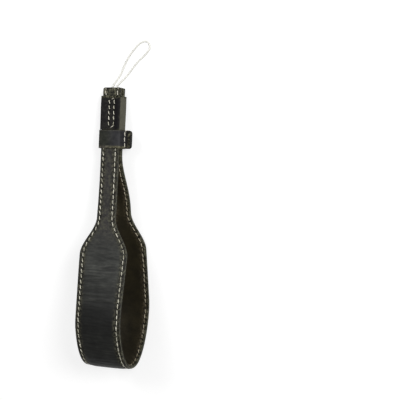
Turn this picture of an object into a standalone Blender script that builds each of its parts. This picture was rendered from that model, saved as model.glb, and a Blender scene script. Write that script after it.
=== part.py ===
"""Leather grip strap with a sliding keeper and a cord loop, lying on its back.

One long two-ply leather strap is folded into a wide loop. Its two narrow ends lie one on the other,
held by a stitched sleeve, and a loose leather keeper slides on the legs below that sleeve. A thin
cord loop comes out between the two ends.

Metres, +Z up. +X runs across the strap, +Y along it from the loop to the ends.
"""
import math

import bmesh
import bpy
import numpy as np
from mathutils import Vector

MM = 0.001

# Leather plies
OUTER_THICKNESS = 1.4 * MM
LINING_THICKNESS = 1.2 * MM
GLUE_LINE = 0.3 * MM
EDGE_CHAMFER = 0.4 * MM
DOME_RISE = 0.6 * MM

# Outline of the strap, flattened out
LEG_WIDTH = 14.6 * MM
BAND_WIDTH = 36.8 * MM
LEG_LENGTH = 97.0 * MM
FLARE_LENGTH = 28.0 * MM
DOME_MARGIN = 7.0 * MM

# Head: the two ends in their sleeve, tipped up from the table towards the loop
HEAD_PITCH = math.radians(12)
HEAD_END_Y = 208.0 * MM
END_REACH = 6.5 * MM
SLEEVE_LENGTH = 25.0 * MM
SLEEVE_WALL = 0.9 * MM
SLEEVE_CORNER = 1.6 * MM
PIECE_GAP = 0.3 * MM
TABLE_GAP = 0.02 * MM

# Keeper that slides on the legs
KEEPER_LENGTH = 13.5 * MM
KEEPER_WALL = 1.2 * MM
KEEPER_CORNER = 1.8 * MM
KEEPER_SHOULDER = 2.85 * MM
KEEPER_SHOULDER_ROOM = 0.5 * MM
KEEPER_SLACK = 0.45 * MM
KEEPER_STRAIGHT = 4.0 * MM
KEEPER_ROOT_REACH = 2.75 * MM
TAB_REACH = 5.5 * MM
TAB_ROUND = 2.2 * MM

# Wide loop, seen from the side
LANDING_Y = 117.0 * MM
LANDING_RISE = 0.8 * MM
REST_START_Y = 58.0 * MM
LIFT_OFF_Y = 46.0 * MM
TIP_HEIGHT = 31.5 * MM
CROWN_Y = 35.0 * MM
CROWN_HEIGHT = 51.5 * MM

# How far each bend of the loop reaches along its tangent
LEG_BACK_PULL = 13.0 * MM
LANDING_PULL = 16.0 * MM
TIP_IN_PULL = 15.0 * MM
TIP_OUT_PULL = 14.0 * MM
CROWN_IN_PULL = 18.0 * MM
CROWN_OUT_PULL = 14.0 * MM
LEG_FRONT_PULL = 69.0 * MM

# Slight turn of the front leg about its own length
FRONT_TWIST = math.radians(8.5)
FRONT_TWIST_PLACE = 118.0 * MM
FRONT_TWIST_REACH = 54.0 * MM

# Stitching
STITCH_PITCH = 4.0 * MM
STITCH_LENGTH = 3.0 * MM
STITCH_WIDTH = 0.8 * MM
STITCH_RISE = 0.3 * MM
STITCH_TAPER = 0.72
EDGE_INSET = 2.3 * MM
BOX_ROW_SPACING = 4.0 * MM
BOX_MARGIN = 2.5 * MM
BOX_LINK_GAP = 0.4 * MM
LINING_SEAM_START = 88.0 * MM
TAB_STITCH_INSET = 0.6 * MM

# Cord loop
CORD_DIAMETER = 1.4 * MM
CORD_STRAND_SPACING = 3.4 * MM
CORD_DEPTH = 15.0 * MM
CORD_STEP = 2.4 * MM

# Fineness of the facets
PATH_STEPS = 60
LINING_STEP = 4.0 * MM
CORNER_STEPS = 3
CORD_SPAN_STEPS = 24
SOFT_EDGE_ANGLE = math.radians(35)

# Colour, roughness and metallic value of each material
LEATHER = ("leather", (0.020, 0.019, 0.017), 0.55, 0.0)
LINING = ("lining_leather", (0.016, 0.012, 0.009), 0.62, 0.0)
KEEPER_LEATHER = ("keeper_leather", (0.026, 0.025, 0.022), 0.60, 0.0)
THREAD = ("stitching_thread", (0.62, 0.60, 0.54), 0.70, 0.0)
CORD = ("cord_nylon", (0.70, 0.69, 0.64), 0.60, 0.0)

PLY_TOTAL = OUTER_THICKNESS + GLUE_LINE + LINING_THICKNESS
LEG_FACE = CORD_DIAMETER / 2 + PIECE_GAP
LEG_MIDDLE = LEG_FACE + LINING_THICKNESS + GLUE_LINE / 2
LEGS_HALF = LEG_FACE + PLY_TOTAL
SLEEVE_HALF = LEGS_HALF + PIECE_GAP + SLEEVE_WALL
KEEPER_START = END_REACH + SLEEVE_LENGTH + PIECE_GAP
STRAIGHT_RUN = KEEPER_START + KEEPER_LENGTH + KEEPER_STRAIGHT
BAND_OUTER = GLUE_LINE / 2 + OUTER_THICKNESS + DOME_RISE
HEAD_AXIS = Vector((0, -math.cos(HEAD_PITCH), math.sin(HEAD_PITCH)))
HEAD_UP = Vector((0, math.sin(HEAD_PITCH), math.cos(HEAD_PITCH)))
SIDE = Vector((1, 0, 0))


def head_origin():
    """The middle of the two strap ends, at the height where the head's far edge meets the table."""
    sleeve_edge = SLEEVE_HALF * HEAD_UP.z - END_REACH * HEAD_AXIS.z
    leg_edge = LEGS_HALF * HEAD_UP.z
    return Vector((0, HEAD_END_Y, max(sleeve_edge, leg_edge) + TABLE_GAP))


def head_point(along, across=0.0, up=0.0):
    """A point of the head, by its distance from the strap's ends towards the loop."""
    return head_origin() + HEAD_AXIS * along + SIDE * across + HEAD_UP * up


def clear_scene():
    for thing in list(bpy.data.objects):
        bpy.data.objects.remove(thing)


def make_material(name, colour, roughness, metallic):
    material = bpy.data.materials.new(name)
    material.use_nodes = True
    shader = material.node_tree.nodes["Principled BSDF"]
    shader.inputs["Base Color"].default_value = (*colour, 1.0)
    shader.inputs["Roughness"].default_value = roughness
    shader.inputs["Metallic"].default_value = metallic
    material.diffuse_color = (*colour, 1.0)
    return material


def finish(bm, name, materials):
    """Turn a bmesh into a named object with outward faces and soft shading."""
    bmesh.ops.recalc_face_normals(bm, faces=bm.faces)
    mesh = bpy.data.meshes.new(name)
    bm.to_mesh(mesh)
    bm.free()
    for material in materials:
        mesh.materials.append(make_material(*material))
    mesh.shade_smooth()
    mesh.set_sharp_from_angle(angle=SOFT_EDGE_ANGLE)
    thing = bpy.data.objects.new(name, mesh)
    bpy.context.collection.objects.link(thing)
    return thing


def bend(start, start_heading, start_pull, end, end_heading, end_pull):
    """Points of one smooth bend in the YZ plane, from headings and the pull along each."""
    first = start + start_pull * np.array([math.cos(start_heading), math.sin(start_heading)])
    second = end - end_pull * np.array([math.cos(end_heading), math.sin(end_heading)])
    t = np.linspace(0, 1, PATH_STEPS)[:, None]
    return ((1 - t) ** 3 * start + 3 * (1 - t) ** 2 * t * first
            + 3 * (1 - t) * t ** 2 * second + t ** 3 * end)


class StrapPath:
    """The glue line between the two plies, from the back leg's end round the loop to the front leg's."""

    def __init__(self):
        back_end = self.leg_place(0, -LEG_MIDDLE)
        back_straight = self.leg_place(STRAIGHT_RUN, -LEG_MIDDLE)
        landing = np.array([LANDING_Y, BAND_OUTER + LANDING_RISE])
        rest_start = np.array([REST_START_Y, BAND_OUTER])
        lift_off = np.array([LIFT_OFF_Y, BAND_OUTER])
        tip = np.array([BAND_OUTER, TIP_HEIGHT])
        crown = np.array([CROWN_Y, CROWN_HEIGHT])
        front_straight = self.leg_place(STRAIGHT_RUN, LEG_MIDDLE)
        front_end = self.leg_place(0, LEG_MIDDLE)
        outward, inward = math.pi - HEAD_PITCH, -HEAD_PITCH
        leg_pull = STRAIGHT_RUN / 3
        settling_pull = (LANDING_Y - REST_START_Y) / 3
        flat_pull = (REST_START_Y - LIFT_OFF_Y) / 3
        bends = [
            bend(back_end, outward, leg_pull, back_straight, outward, leg_pull),
            bend(back_straight, outward, LEG_BACK_PULL, landing, math.pi, LANDING_PULL),
            bend(landing, math.pi, settling_pull, rest_start, math.pi, settling_pull),
            bend(rest_start, math.pi, flat_pull, lift_off, math.pi, flat_pull),
            bend(lift_off, math.pi, TIP_IN_PULL, tip, math.pi / 2, TIP_IN_PULL),
            bend(tip, math.pi / 2, TIP_OUT_PULL, crown, 0, CROWN_IN_PULL),
            bend(crown, 0, CROWN_OUT_PULL, front_straight, inward, LEG_FRONT_PULL),
            bend(front_straight, inward, leg_pull, front_end, inward, leg_pull),
        ]
        self.points = np.vstack([bends[0]] + [piece[1:] for piece in bends[1:]])
        steps = np.linalg.norm(np.diff(self.points, axis=0), axis=1)
        self.distances = np.concatenate([[0], np.cumsum(steps)])
        self.length = float(self.distances[-1])
        slopes = np.gradient(self.points, self.distances, axis=0)
        self.slopes = slopes / np.linalg.norm(slopes, axis=1)[:, None]

    @staticmethod
    def leg_place(along, up):
        point = head_point(along, 0, up)
        return np.array([point.y, point.z])

    def frame(self, distance):
        """The glue line's point there, its direction across the strap and the one out of the face."""
        y, z = (np.interp(distance, self.distances, self.points[:, k]) for k in (0, 1))
        slope_y, slope_z = (np.interp(distance, self.distances, self.slopes[:, k]) for k in (0, 1))
        out = Vector((0, -slope_z, slope_y)).normalized()
        turn = self.twist(distance)
        across = SIDE * math.cos(turn) - out * math.sin(turn)
        return Vector((0, y, z)), across, SIDE * math.sin(turn) + out * math.cos(turn)

    def twist(self, distance):
        from_place = abs(self.length - distance - FRONT_TWIST_PLACE)
        if from_place >= FRONT_TWIST_REACH:
            return 0.0
        return FRONT_TWIST * math.cos(math.pi / 2 * from_place / FRONT_TWIST_REACH) ** 2

    def wideness(self, distance):
        """0 on the narrow legs, 1 on the wide band."""
        from_end = min(distance, self.length - distance)
        share = min(max((from_end - LEG_LENGTH) / FLARE_LENGTH, 0.0), 1.0)
        return share * share * (3 - 2 * share)

    def half_width(self, distance):
        return (LEG_WIDTH + (BAND_WIDTH - LEG_WIDTH) * self.wideness(distance)) / 2


def loft(rings):
    """A closed skin through rings of points. Returns the bmesh and its side faces by ring and place."""
    bm = bmesh.new()
    loops = [[bm.verts.new(point) for point in ring] for ring in rings]
    count = len(loops[0])
    sides = []
    for this, after in zip(loops[:-1], loops[1:]):
        sides.append([
            bm.faces.new((this[k], this[(k + 1) % count], after[(k + 1) % count], after[k]))
            for k in range(count)
        ])
    bm.faces.new(loops[0])
    bm.faces.new(list(reversed(loops[-1])))
    return bm, sides


def raise_stitches(bm, faces):
    """Lift each face into a short raised stitch with tapered sides, in the thread's material."""
    bmesh.ops.recalc_face_normals(bm, faces=bm.faces)
    lifted = bmesh.ops.extrude_discrete_faces(bm, faces=faces)["faces"]
    for face in lifted:
        middle = face.calc_center_median()
        normal = face.normal.copy()
        face.material_index = 1
        for side in {edge_face for edge in face.edges for edge_face in edge.link_faces}:
            side.material_index = 1
        for vert in face.verts:
            vert.co = middle + (vert.co - middle) * STITCH_TAPER + normal * STITCH_RISE


def stitch_run(start, end):
    """Start and end of each stitch of a row centred between two places."""
    count = int((end - start - STITCH_LENGTH) / STITCH_PITCH) + 1
    first = (start + end - (count - 1) * STITCH_PITCH - STITCH_LENGTH) / 2
    return [(first + k * STITCH_PITCH, first + k * STITCH_PITCH + STITCH_LENGTH) for k in range(count)]


def stitch_stations(start, end, stitches):
    """Ring places with a pair of rings for each stitch, and the numbers of the stitched spans."""
    places = [start] + [place for stitch in stitches for place in stitch] + [end]
    return places, range(1, len(places) - 1, 2)


def outer_section(path, distance):
    """Ring of the outer ply: its glued face, chamfered edges, two stitch lines and the domed middle."""
    centre, across, out = path.frame(distance)
    half = path.half_width(distance)
    low, high = GLUE_LINE / 2, GLUE_LINE / 2 + OUTER_THICKNESS
    stitch = half - EDGE_INSET
    dome_half = max(half - DOME_MARGIN, 0) * path.wideness(distance)
    dome_half = max(dome_half, (stitch - STITCH_WIDTH / 2) / 2)
    dome = high + DOME_RISE * path.wideness(distance)
    outline = [
        (-half, low), (half, low), (half - EDGE_CHAMFER, high),
        (stitch + STITCH_WIDTH / 2, high), (stitch - STITCH_WIDTH / 2, high),
        (dome_half, dome), (-dome_half, dome),
        (-stitch + STITCH_WIDTH / 2, high), (-stitch - STITCH_WIDTH / 2, high),
        (-half + EDGE_CHAMFER, high),
    ]
    return [centre + across * x + out * z for x, z in outline]


RIGHT_STITCH_LINE, LEFT_STITCH_LINE = 3, 7


def edge_seam(path):
    """The stitches along the strap's edges, left off where the sleeve covers them."""
    covered = END_REACH + SLEEVE_LENGTH
    tail, loop = stitch_run(0, END_REACH), stitch_run(covered, path.length - covered)
    return tail + loop + stitch_run(path.length - END_REACH, path.length)


def make_outer(path):
    """Outer ply with its contrast stitching along both edges."""
    places, stitched_spans = stitch_stations(0, path.length, edge_seam(path))
    bm, sides = loft([outer_section(path, place) for place in places])
    raise_stitches(bm, [sides[k][line] for k in stitched_spans
                        for line in (RIGHT_STITCH_LINE, LEFT_STITCH_LINE)])
    return finish(bm, "strap_outer", (LEATHER, THREAD))


def lining_section(path, distance):
    """Ring of the inner ply: its glued face, chamfered edges and two stitch lines."""
    centre, across, out = path.frame(distance)
    half = path.half_width(distance)
    low, high = -GLUE_LINE / 2 - LINING_THICKNESS, -GLUE_LINE / 2
    stitch, edge = half - EDGE_INSET, STITCH_WIDTH / 2
    outline = [
        (-half, high), (-half + EDGE_CHAMFER, low), (-stitch - edge, low), (-stitch + edge, low),
        (stitch - edge, low), (stitch + edge, low), (half - EDGE_CHAMFER, low), (half, high),
    ]
    return [centre + across * x + out * z for x, z in outline]


LEFT_LINING_LINE, RIGHT_LINING_LINE = 2, 4


def make_lining(path):
    """Inner ply. The edge seams come through where the two legs part."""
    seam = [stitch for stitch in edge_seam(path)
            if LINING_SEAM_START < stitch[0] < path.length - LINING_SEAM_START]
    leg_steps = round(seam[0][0] / LINING_STEP)
    near_leg = list(np.linspace(0, seam[0][0], leg_steps, endpoint=False))
    far_leg = [path.length - place for place in reversed(near_leg)]
    places = near_leg + [place for stitch in seam for place in stitch] + far_leg
    bm, sides = loft([lining_section(path, place) for place in places])
    stitched_spans = range(leg_steps, leg_steps + 2 * len(seam), 2)
    raise_stitches(bm, [sides[k][line] for k in stitched_spans
                        for line in (LEFT_LINING_LINE, RIGHT_LINING_LINE)])
    return finish(bm, "strap_lining", (LINING, THREAD))


def rounded_corners(half_wide, half_high, radius):
    """Outline of a rounded rectangle, anticlockwise from the lower right corner's start."""
    outline = []
    for quarter, (sx, sz) in enumerate(((1, -1), (1, 1), (-1, 1), (-1, -1))):
        centre_x, centre_z = sx * (half_wide - radius), sz * (half_high - radius)
        for k in range(CORNER_STEPS + 1):
            angle = math.pi / 2 * (quarter - 1 + k / CORNER_STEPS)
            outline.append((centre_x + radius * math.cos(angle), centre_z + radius * math.sin(angle)))
    return outline


def sleeve_outline():
    """Outside of the sleeve, with points beside both stitch rows on its front and its back."""
    half_wide = LEG_WIDTH / 2 + PIECE_GAP + SLEEVE_WALL
    corners = rounded_corners(half_wide, SLEEVE_HALF, SLEEVE_CORNER)
    row, edge = BOX_ROW_SPACING / 2, STITCH_WIDTH / 2
    marks = [row + edge, row - edge, -row + edge, -row - edge]
    split = 2 * (CORNER_STEPS + 1)
    front = [(x, SLEEVE_HALF) for x in marks]
    back = [(-x, -SLEEVE_HALF) for x in marks]
    return corners[:split] + front + corners[split:] + back


def make_sleeve():
    """Stitched sleeve that holds the two strap ends and the cord between them."""
    start, end = END_REACH, END_REACH + SLEEVE_LENGTH
    rows = stitch_run(start + BOX_MARGIN, end - BOX_MARGIN)
    before, after = rows[0][0] - BOX_LINK_GAP, rows[-1][1] + BOX_LINK_GAP
    links = [(before - STITCH_WIDTH, before), (after, after + STITCH_WIDTH)]
    places, stitched_spans = stitch_stations(start, end, links[:1] + rows + links[1:])
    outline = sleeve_outline()
    bm, sides = loft([[head_point(place, x, z) for x, z in outline] for place in places])
    front = 2 * (CORNER_STEPS + 1)
    back = len(outline) - 4
    seam = [sides[k][row] for k in stitched_spans[1:-1] for row in (front, front + 2, back, back + 2)]
    seam += [sides[k][row] for k in (stitched_spans[0], stitched_spans[-1]) for row in (front + 1, back + 1)]
    raise_stitches(bm, seam)
    sleeve = finish(bm, "head_sleeve", (KEEPER_LEATHER, THREAD))
    hollow_out(sleeve, start, end, LEG_WIDTH / 2 + PIECE_GAP, LEGS_HALF + PIECE_GAP)
    return sleeve


def hollow_out(thing, start, end, half_wide, half_high):
    """Cut a straight rectangular channel along the head through a solid."""
    signs = ((-1, -1), (1, -1), (1, 1), (-1, 1))
    corners = [(sx * half_wide, sz * half_high) for sx, sz in signs]
    ends = (start - PIECE_GAP, end + PIECE_GAP)
    bm, _ = loft([[head_point(place, x, z) for x, z in corners] for place in ends])
    cutter = finish(bm, thing.name + "_channel", ())
    cutter.hide_render = True
    cutter.display_type = "WIRE"
    cut = thing.modifiers.new("channel", "BOOLEAN")
    cut.operation = "DIFFERENCE"
    cut.object = cutter


def arc(centre_x, centre_z, radius, start, end):
    """Points of an arc between two angles."""
    turns = [start + (end - start) * k / CORNER_STEPS for k in range(CORNER_STEPS + 1)]
    return [(centre_x + radius * math.cos(turn), centre_z + radius * math.sin(turn)) for turn in turns]


def mirrored_below(outline):
    """The same outline below the middle, in the other order."""
    return [(x, -z) for x, z in reversed(outline)]


def keeper_root():
    """Where the two ends of the keeper's strip meet, beside the legs."""
    return LEG_WIDTH / 2 + KEEPER_SLACK + KEEPER_ROOT_REACH


def keeper_strip():
    """Upper half of the keeper's section, outside and inside.

    One strip is bent square round the legs' left side. On the right it slopes off its shoulders to a
    root, where its two ends lie face to face as a tab.
    """
    inner_wide, inner_high = LEG_WIDTH / 2 + KEEPER_SLACK, LEGS_HALF + KEEPER_SLACK
    slit, tab_top, root = PIECE_GAP / 2, PIECE_GAP / 2 + KEEPER_WALL, keeper_root()
    inner_shoulder = KEEPER_SHOULDER - KEEPER_WALL
    shoulder_x = inner_wide + KEEPER_SHOULDER_ROOM - inner_shoulder
    shoulder_z = inner_high - inner_shoulder
    run, drop = root - shoulder_x, shoulder_z - tab_top
    slope = math.acos(KEEPER_SHOULDER / math.hypot(run, drop)) - math.atan2(drop, run)
    corner_x = -inner_wide + KEEPER_CORNER - KEEPER_WALL
    corner_z = inner_high - KEEPER_CORNER + KEEPER_WALL
    stitch, edge = root + TAB_STITCH_INSET, STITCH_WIDTH / 2
    quarter = math.pi / 2
    outside = [(root + TAB_REACH, slit), (root + TAB_REACH, tab_top),
               (stitch + edge, tab_top), (stitch - edge, tab_top), (root, tab_top)]
    outside += arc(shoulder_x, shoulder_z, KEEPER_SHOULDER, slope, quarter)
    outside += arc(corner_x, corner_z, KEEPER_CORNER, quarter, math.pi)
    inside = arc(corner_x, corner_z, KEEPER_CORNER - KEEPER_WALL, math.pi, quarter)
    inside += arc(shoulder_x, shoulder_z, inner_shoulder, quarter, slope)
    last_x, last_z = inside[-1]
    inside.append((last_x + (last_z - slit) * math.tan(slope), slit))
    return outside, inside


UPPER_TAB_LINE = 2


def round_tab(bm, tab_end):
    """Round the tab's free corners on both plies."""
    corners = [edge for edge in bm.edges
               if all(abs(vert.co.x - tab_end) < TAB_ROUND / 100 for vert in edge.verts)
               and abs((edge.verts[0].co - edge.verts[1].co).dot(HEAD_UP)) > KEEPER_WALL / 2
               and any(len(face.verts) > 4 for face in edge.link_faces)]
    bmesh.ops.bevel(bm, geom=corners, offset=TAB_ROUND, segments=CORNER_STEPS, affect="EDGES")


def make_keeper():
    """Loose keeper loop with its stitched tab, in its seat below the sleeve."""
    start, end = KEEPER_START, KEEPER_START + KEEPER_LENGTH
    places, stitched_spans = stitch_stations(start, end, stitch_run(start, end))
    outside, inside = keeper_strip()
    outline = outside + mirrored_below(outside) + mirrored_below(inside) + inside
    bm, sides = loft([[head_point(place, x, z) for x, z in outline] for place in places])
    lower_tab_line = 2 * (len(outside) - 1) - UPPER_TAB_LINE
    raise_stitches(bm, [sides[k][line] for k in stitched_spans for line in (UPPER_TAB_LINE, lower_tab_line)])
    round_tab(bm, keeper_root() + TAB_REACH)
    return finish(bm, "keeper", (KEEPER_LEATHER, THREAD))


def smooth_curve(points):
    """Even points along a Catmull-Rom curve through a short list."""
    ends = [points[0] * 2 - points[1]] + points + [points[-1] * 2 - points[-2]]
    fine = []
    for a, b, c, d in zip(ends[:-3], ends[1:-2], ends[2:-1], ends[3:]):
        for t in np.linspace(0, 1, CORD_SPAN_STEPS, endpoint=False):
            fine.append(0.5 * ((2 * b) + (c - a) * t + (2 * a - 5 * b + 4 * c - d) * t ** 2
                               + (3 * b - 3 * c + d - a) * t ** 3))
    fine.append(points[-1])
    lengths = np.concatenate([[0], np.cumsum([(q - p).length for p, q in zip(fine[:-1], fine[1:])])])
    count = round(lengths[-1] / CORD_STEP)
    table = np.array([tuple(p) for p in fine])
    places = np.linspace(0, lengths[-1], count + 1)
    table[:, 2] = np.maximum(table[:, 2], CORD_DIAMETER / 2)
    return np.column_stack([np.interp(places, lengths, table[:, k]) for k in range(3)])


def cord_route():
    """Both strands leave between the strap ends, drop to the table and meet in a loose loop."""
    strand = CORD_STRAND_SPACING / 2
    floor = CORD_DIAMETER / 2
    end_height = head_origin().z
    lying = [(4.6, 9.0, 0.35), (8.6, 17.5, 0.0), (14.5, 25.5, 0.0), (21.5, 32.0, 0.0), (27.5, 33.5, 0.0),
             (29.5, 28.8, 0.0), (25.6, 24.0, 0.0), (19.0, 18.6, 0.0), (12.8, 12.0, 0.0), (8.3, 6.6, 0.45)]
    table = [Vector((x * MM, HEAD_END_Y + y * MM, floor + z * (end_height - floor))) for x, y, z in lying]
    leaving = [head_point(CORD_DEPTH, -strand), head_point(CORD_DEPTH / 2, -strand), head_point(0, -strand)]
    coming = [head_point(0, strand), head_point(CORD_DEPTH / 2, strand), head_point(CORD_DEPTH, strand)]
    return leaving + table + coming


def make_cord():
    """Thin cord loop that the strap hangs by."""
    points = smooth_curve(cord_route())
    curve = bpy.data.curves.new("tether_cord", "CURVE")
    curve.dimensions = "3D"
    curve.bevel_depth = CORD_DIAMETER / 2
    curve.bevel_resolution = 2
    curve.use_fill_caps = True
    spline = curve.splines.new("POLY")
    spline.points.add(len(points) - 1)
    for target, point in zip(spline.points, points):
        target.co = (*point, 1.0)
    curve.materials.append(make_material(*CORD))
    thing = bpy.data.objects.new("tether_cord", curve)
    bpy.context.collection.objects.link(thing)
    return thing


def centre_on_origin(solids, others):
    """Move everything so that the leather stands on the origin, in the middle of its own box."""
    corners = [thing.matrix_world @ vert.co for thing in solids for vert in thing.data.vertices]
    low = [min(corner[k] for corner in corners) for k in range(3)]
    high = [max(corner[k] for corner in corners) for k in range(3)]
    shift = Vector((-(low[0] + high[0]) / 2, -(low[1] + high[1]) / 2, -low[2]))
    for thing in solids + others:
        thing.location += shift


def main():
    clear_scene()
    path = StrapPath()
    leather = [make_outer(path), make_lining(path), make_sleeve(), make_keeper()]
    cutters = [thing for thing in bpy.data.objects if thing.hide_render]
    centre_on_origin(leather, cutters + [make_cord()])


main()
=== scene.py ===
"""Leather grip strap with a sliding keeper and a cord loop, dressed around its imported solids.

The strap's plies and seams are modelled flat, then bent along the strap's own line. Flat pieces have
X along the strap from the back leg's end, Y to its left and Z out of its face. Pieces of the head have
X along the head from the strap's ends, Y across it to the right and Z up out of its front.
"""

import math

import bpy
import numpy as np
from mathutils import Matrix, Vector


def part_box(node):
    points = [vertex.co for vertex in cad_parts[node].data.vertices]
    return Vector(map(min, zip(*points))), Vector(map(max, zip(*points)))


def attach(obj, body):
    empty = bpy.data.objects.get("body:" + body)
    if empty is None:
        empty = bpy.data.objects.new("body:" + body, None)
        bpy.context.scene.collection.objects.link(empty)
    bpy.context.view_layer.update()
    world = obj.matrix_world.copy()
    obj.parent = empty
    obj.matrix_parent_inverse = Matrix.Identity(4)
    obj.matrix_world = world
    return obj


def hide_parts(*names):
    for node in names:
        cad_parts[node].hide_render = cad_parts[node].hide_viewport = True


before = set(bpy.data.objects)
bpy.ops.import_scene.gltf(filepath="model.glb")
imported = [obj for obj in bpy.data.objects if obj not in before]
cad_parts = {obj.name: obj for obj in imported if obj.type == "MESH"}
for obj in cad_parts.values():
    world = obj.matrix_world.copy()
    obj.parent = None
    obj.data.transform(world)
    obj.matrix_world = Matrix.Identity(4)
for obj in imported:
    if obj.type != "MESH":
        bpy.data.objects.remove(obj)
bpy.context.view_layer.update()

MM = 0.001

# Leather plies
OUTER_THICKNESS = 1.4 * MM
LINING_THICKNESS = 1.2 * MM
GLUE_LINE = 0.3 * MM
DOME_RISE = 0.6 * MM

# Outline of the strap, flattened out
LEG_WIDTH = 14.6 * MM
BAND_WIDTH = 36.8 * MM
LEG_LENGTH = 97.0 * MM
FLARE_LENGTH = 28.0 * MM

# Head: the two ends in their sleeve, tipped up from the table towards the loop
HEAD_PITCH = math.radians(12)
HEAD_END_Y = 208.0 * MM
END_REACH = 6.5 * MM
SLEEVE_LENGTH = 25.0 * MM
SLEEVE_WALL = 0.9 * MM
SLEEVE_CORNER = 1.6 * MM
PIECE_GAP = 0.3 * MM
TABLE_GAP = 0.02 * MM

# Keeper that slides on the legs
KEEPER_LENGTH = 13.5 * MM
KEEPER_WALL = 1.2 * MM
KEEPER_CORNER = 1.8 * MM
KEEPER_SHOULDER = 2.85 * MM
KEEPER_SHOULDER_ROOM = 0.5 * MM
KEEPER_SLACK = 0.45 * MM
KEEPER_STRAIGHT = 4.0 * MM
KEEPER_ROOT_REACH = 2.75 * MM
TAB_REACH = 5.5 * MM
TAB_ROUND = 2.2 * MM

# Wide loop, seen from the side
LANDING_Y = 117.0 * MM
LANDING_RISE = 0.8 * MM
REST_START_Y = 58.0 * MM
LIFT_OFF_Y = 46.0 * MM
TIP_HEIGHT = 31.5 * MM
CROWN_Y = 35.0 * MM
CROWN_HEIGHT = 51.5 * MM

# How far each bend of the loop reaches along its tangent
LEG_BACK_PULL = 13.0 * MM
LANDING_PULL = 16.0 * MM
TIP_IN_PULL = 15.0 * MM
TIP_OUT_PULL = 14.0 * MM
CROWN_IN_PULL = 18.0 * MM
CROWN_OUT_PULL = 14.0 * MM
LEG_FRONT_PULL = 69.0 * MM

# Slight turn of the front leg about its own length
FRONT_TWIST = math.radians(8.5)
FRONT_TWIST_PLACE = 118.0 * MM
FRONT_TWIST_REACH = 54.0 * MM

# Stitching
STITCH_PITCH = 4.0 * MM
STITCH_LENGTH = 3.0 * MM
STITCH_OVERRUN = 1.1
THREAD = 0.52 * MM
EDGE_INSET = 2.3 * MM
BAND_SEAM_SHIFT = 0.45 * MM
CLEANER_ON_LEGS = 0.2
BOX_ROW_SPACING = 4.0 * MM
BOX_MARGIN = 2.5 * MM
TAB_STITCH_INSET = 0.6 * MM

# Cord loop
CORD_DIAMETER = 1.4 * MM
CORD_STRAND_SPACING = 3.4 * MM
CORD_DEPTH = 15.0 * MM
CORD_STEP = 2.4 * MM

# How the leather is drawn
EDGE_STRIP = 4.0 * MM
RING_STEP = 0.4 * MM
SHARP_ANGLE = math.radians(50)
PATH_STEPS = 60

FACE_HEIGHT = GLUE_LINE / 2 + OUTER_THICKNESS
LINING_HEIGHT = -GLUE_LINE / 2 - LINING_THICKNESS
PLY_TOTAL = OUTER_THICKNESS + GLUE_LINE + LINING_THICKNESS
LEG_FACE = CORD_DIAMETER / 2 + PIECE_GAP
LEG_MIDDLE = LEG_FACE + LINING_THICKNESS + GLUE_LINE / 2
LEGS_HALF = LEG_FACE + PLY_TOTAL
SLEEVE_HALF = LEGS_HALF + PIECE_GAP + SLEEVE_WALL
SLEEVE_HALF_WIDTH = LEG_WIDTH / 2 + PIECE_GAP + SLEEVE_WALL
KEEPER_START = END_REACH + SLEEVE_LENGTH + PIECE_GAP
STRAIGHT_RUN = KEEPER_START + KEEPER_LENGTH + KEEPER_STRAIGHT
BAND_OUTER = FACE_HEIGHT + DOME_RISE
HEAD_AXIS = Vector((0, -math.cos(HEAD_PITCH), math.sin(HEAD_PITCH)))
HEAD_UP = Vector((0, math.sin(HEAD_PITCH), math.cos(HEAD_PITCH)))
SIDE = Vector((1, 0, 0))
BACK_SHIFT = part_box("strap_outer")[0].y
HEAD_EDGE = max(SLEEVE_HALF * HEAD_UP.z - END_REACH * HEAD_AXIS.z, LEGS_HALF * HEAD_UP.z)

# The middle of the two strap ends, at the height where the head's far edge meets the table
HEAD_ORIGIN = Vector((0, HEAD_END_Y + BACK_SHIFT, HEAD_EDGE + TABLE_GAP))


def head_point(along, across=0.0, up=0.0):
    return HEAD_ORIGIN + HEAD_AXIS * along + SIDE * across + HEAD_UP * up


def frame_of(*columns):
    """Matrix whose columns are three directions and a place."""
    return Matrix([[column[row] for column in columns] for row in range(3)] + [[0, 0, 0, 1]])


# Carries the head's own along, across and up to the strap's frame
HEAD_FRAME = frame_of(HEAD_AXIS, SIDE, HEAD_UP, HEAD_ORIGIN)


# The strap's own line

def places_along(points):
    """How far along a line of points each of them lies."""
    return np.concatenate([[0], np.cumsum(np.linalg.norm(np.diff(points, axis=0), axis=1))])


def bend(start, start_heading, start_pull, end, end_heading, end_pull):
    """Points of one smooth bend in the YZ plane, from headings and the pull along each."""
    first = start + start_pull * np.array([math.cos(start_heading), math.sin(start_heading)])
    second = end - end_pull * np.array([math.cos(end_heading), math.sin(end_heading)])
    t = np.linspace(0, 1, PATH_STEPS)[:, None]
    return ((1 - t) ** 3 * start + 3 * (1 - t) ** 2 * t * first
            + 3 * (1 - t) * t ** 2 * second + t ** 3 * end)


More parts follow.
